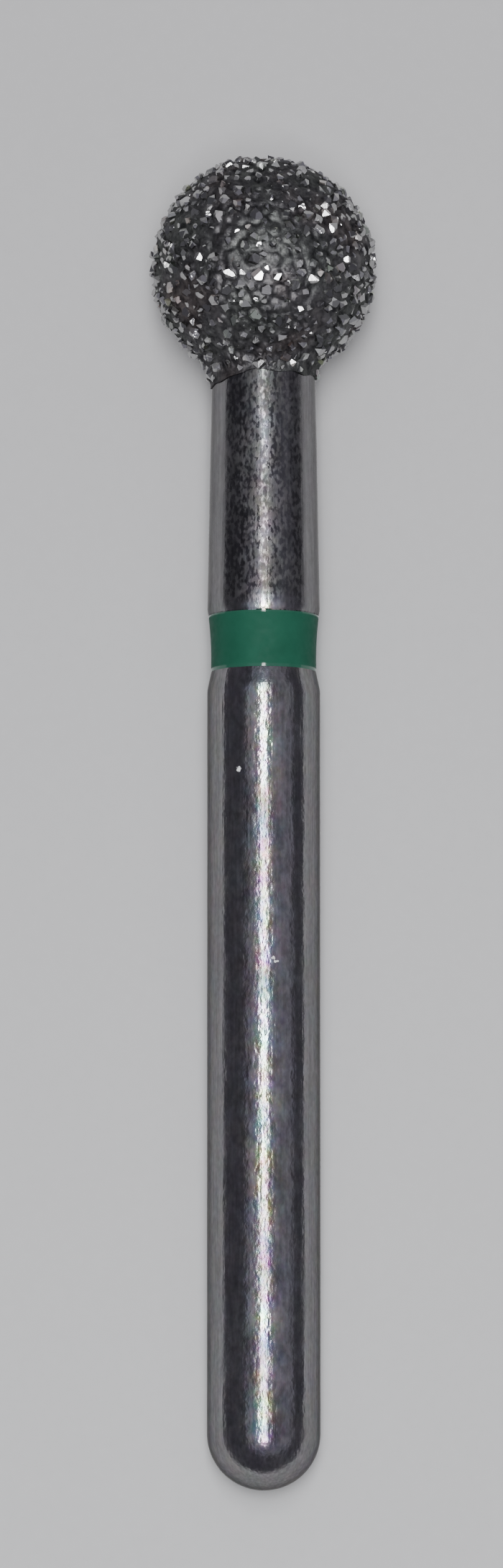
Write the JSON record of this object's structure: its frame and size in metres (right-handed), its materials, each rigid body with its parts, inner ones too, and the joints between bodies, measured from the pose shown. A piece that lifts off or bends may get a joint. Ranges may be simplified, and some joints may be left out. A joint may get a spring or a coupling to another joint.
{
  "type": "dental bur",
  "caption": "Ball-headed rotary bur: diamond grit in nickel on a tapered steel neck, green code ring, round-ended friction-grip shank.",
  "frame": {"origin": "tip of the shank's round end, on the bur's axis", "axes": "+Z along the axis of rotation, from the shank's tip towards the ball head"},
  "size_m": [0.0032, 0.0032, 0.019],
  "materials": {
    "hardened_steel": "satin",
    "nickel_plate": "satin",
    "diamond": "gloss",
    "green_lacquer": "gloss"
  },
  "bodies": {
    "root": {"steel_blank": "hardened_steel", "nickel_bond": "nickel_plate", "diamond_grit": "diamond", "code_ring": "green_lacquer"}
  },
  "joints": []
}
